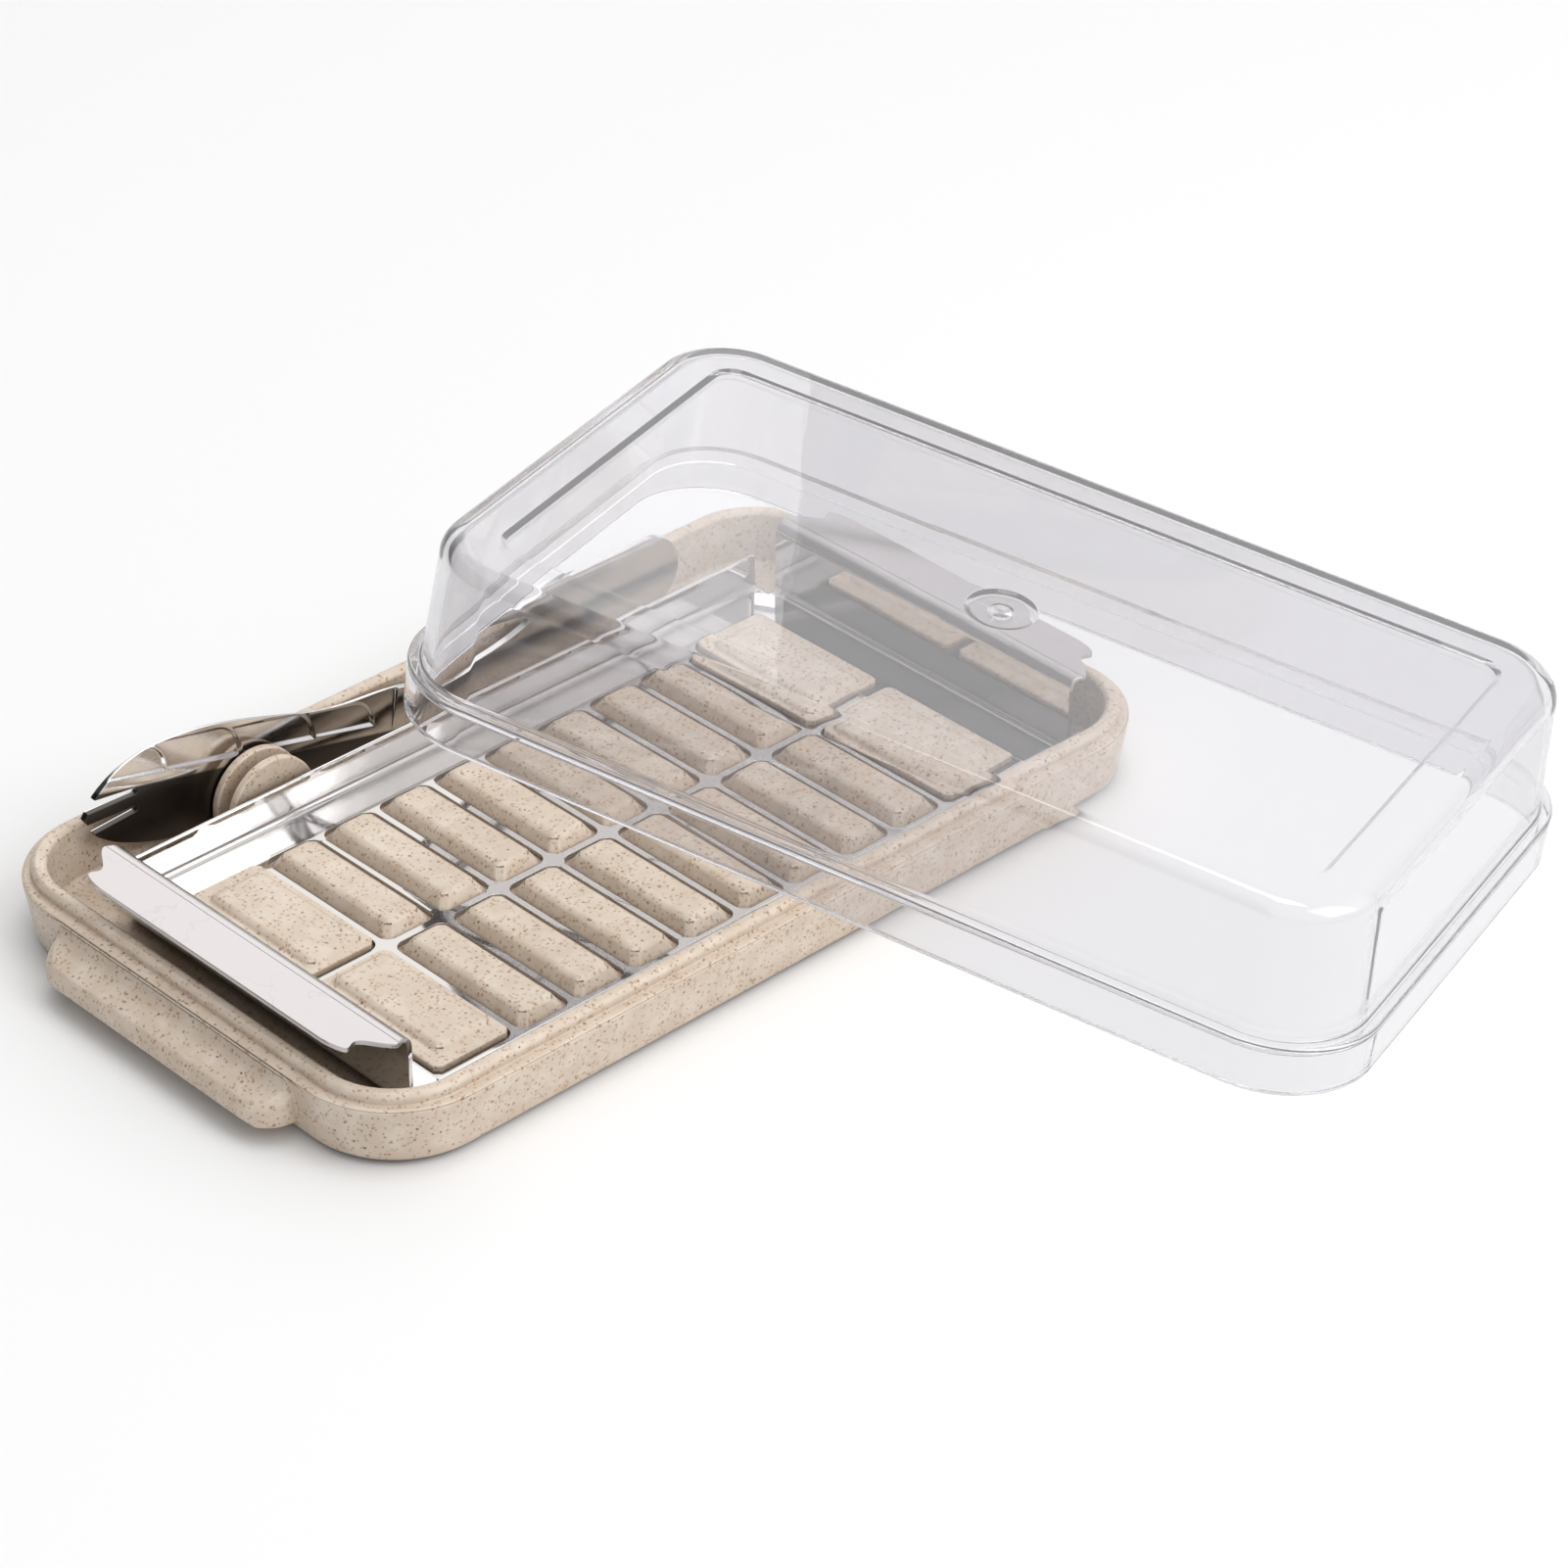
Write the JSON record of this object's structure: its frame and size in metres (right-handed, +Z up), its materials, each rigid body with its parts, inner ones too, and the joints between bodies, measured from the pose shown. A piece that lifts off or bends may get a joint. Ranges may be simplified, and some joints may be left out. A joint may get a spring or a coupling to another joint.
{
  "type": "butter dish with cutter",
  "caption": "Rectangular butter dish: speckled tray with a ribbed butter bed, stamped steel cutting grid, serrated knife and a clear lid leaning on the rim.",
  "frame": {"origin": "centre of the tray's flat underside", "axes": "+Z up, +X along the tray, +Y towards the knife's bay"},
  "size_m": [0.198, 0.1747, 0.049],
  "materials": {
    "tray_plastic": "satin, pale beige with fine brown specks",
    "cutter_steel": "bright stamped stainless sheet",
    "knife_steel": "polished",
    "lid_clear": "clear, polished"
  },
  "bodies": {
    "base_tray": {"base_tray": "tray_plastic"},
    "cutter": {"cutter": "cutter_steel"},
    "knife": {"knife": "knife_steel"},
    "lid": {"lid": "lid_clear"}
  },
  "joints": [
    {"name": "lid_lift", "type": "slide", "parent": "base_tray", "child": "lid", "axis": [0, 0, 1], "range_m": [0, 0.09]},
    {"name": "cutter_lift", "type": "slide", "parent": "base_tray", "child": "cutter", "axis": [0, 0, 1], "range_m": [0, 0.045]},
    {"name": "knife_lift", "type": "slide", "parent": "base_tray", "child": "knife", "axis": [0, 0, 1], "range_m": [0, 0.045]}
  ],
  "couplings": [
    {"joint": "cutter_lift", "follows": "lid_lift", "ratio": 0.5},
    {"joint": "knife_lift", "follows": "lid_lift", "ratio": 0.5}
  ]
}
